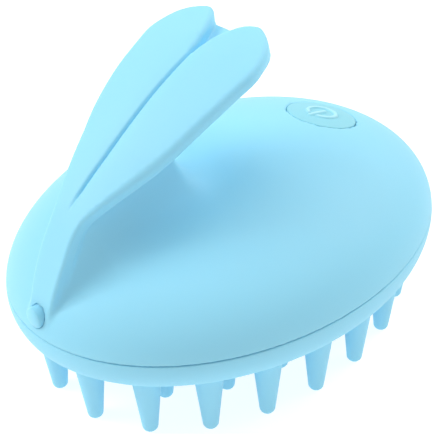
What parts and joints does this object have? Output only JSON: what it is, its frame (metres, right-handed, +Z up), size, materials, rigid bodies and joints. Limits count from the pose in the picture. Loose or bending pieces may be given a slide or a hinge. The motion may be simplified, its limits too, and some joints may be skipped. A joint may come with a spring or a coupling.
{
  "type": "scalp massager brush",
  "caption": "Hand-held vibrating scalp massager: oval silicone body with a free-standing ear-shaped grip, a power button and a bristle pad.",
  "frame": {"origin": "middle of the plane that the bristle tips stand on, at the tip of the middle bristle", "axes": "+Z up, away from the bristles; +Y towards the rear, so the nose and charging plug face -Y; +X to the left of the rabbit's face as seen from the front, which is the right of a view along +Y"},
  "size_m": [0.076, 0.1, 0.0687],
  "materials": {
    "silicone": "matte moulded silicone",
    "button_silicone": "matte moulded silicone",
    "white_abs": "fine moulded texture",
    "seal_rubber": "matte",
    "black_plastic": "moulded",
    "plated_steel": "plated",
    "brass": "turned",
    "board": "solder mask",
    "cell_foil": "laminated pouch foil",
    "foam": "foam",
    "red_wire": "extruded insulation",
    "black_wire": "extruded insulation"
  },
  "bodies": {
    "housing": {"upper_skin": "silicone", "ear_core": "white_abs", "upper_shell": "white_abs", "seal_ring": "seal_rubber", "lower_case": "white_abs", "brush_pad": "silicone", "switch_body": "plated_steel", "circuit_board": "board", "motor_can": "plated_steel", "motor_end_cap": "black_plastic", "motor_sleeve": "seal_rubber", "motor_strap": "plated_steel", "battery_cell": "cell_foil", "battery_pad": "foam", "charging_jack": "black_plastic", "board_screw_1": "plated_steel", "board_screw_2": "plated_steel", "strap_screw_1": "plated_steel", "strap_screw_2": "plated_steel", "case_screw_1": "plated_steel", "case_screw_2": "plated_steel", "case_screw_3": "plated_steel", "case_screw_4": "plated_steel", "ear_screw_1": "plated_steel", "ear_screw_2": "plated_steel", "battery_lead_red": "red_wire", "battery_lead_black": "black_wire", "motor_lead_red": "red_wire", "motor_lead_black": "black_wire", "jack_lead_red": "red_wire", "jack_lead_black": "black_wire"},
    "button": {"power_button": "button_silicone"},
    "plunger": {"switch_plunger": "black_plastic"},
    "rotor": {"motor_shaft": "plated_steel", "eccentric_weight": "brass"},
    "plug": {"nose_plug": "silicone"}
  },
  "joints": [
    {"name": "button_press", "type": "slide", "parent": "housing", "child": "button", "axis": [0, -0.2701, -0.9628], "range_m": [0, 0.0006], "stiffness_N_per_m": 1500},
    {"name": "plunger_press", "type": "slide", "parent": "housing", "child": "plunger", "axis": [0, -0.2701, -0.9628], "range_m": [0, 0.0006]},
    {"name": "motor_spin", "type": "hinge", "parent": "housing", "child": "rotor", "pos_m": [0, 0.005, 0.0282], "axis": [1, 0, 0], "continuous": true},
    {"name": "plug_pull", "type": "slide", "parent": "housing", "child": "plug", "axis": [0, -1, 0], "range_m": [0, 0.012]}
  ],
  "couplings": [
    {"joint": "plunger_press", "follows": "button_press", "ratio": 1}
  ]
}
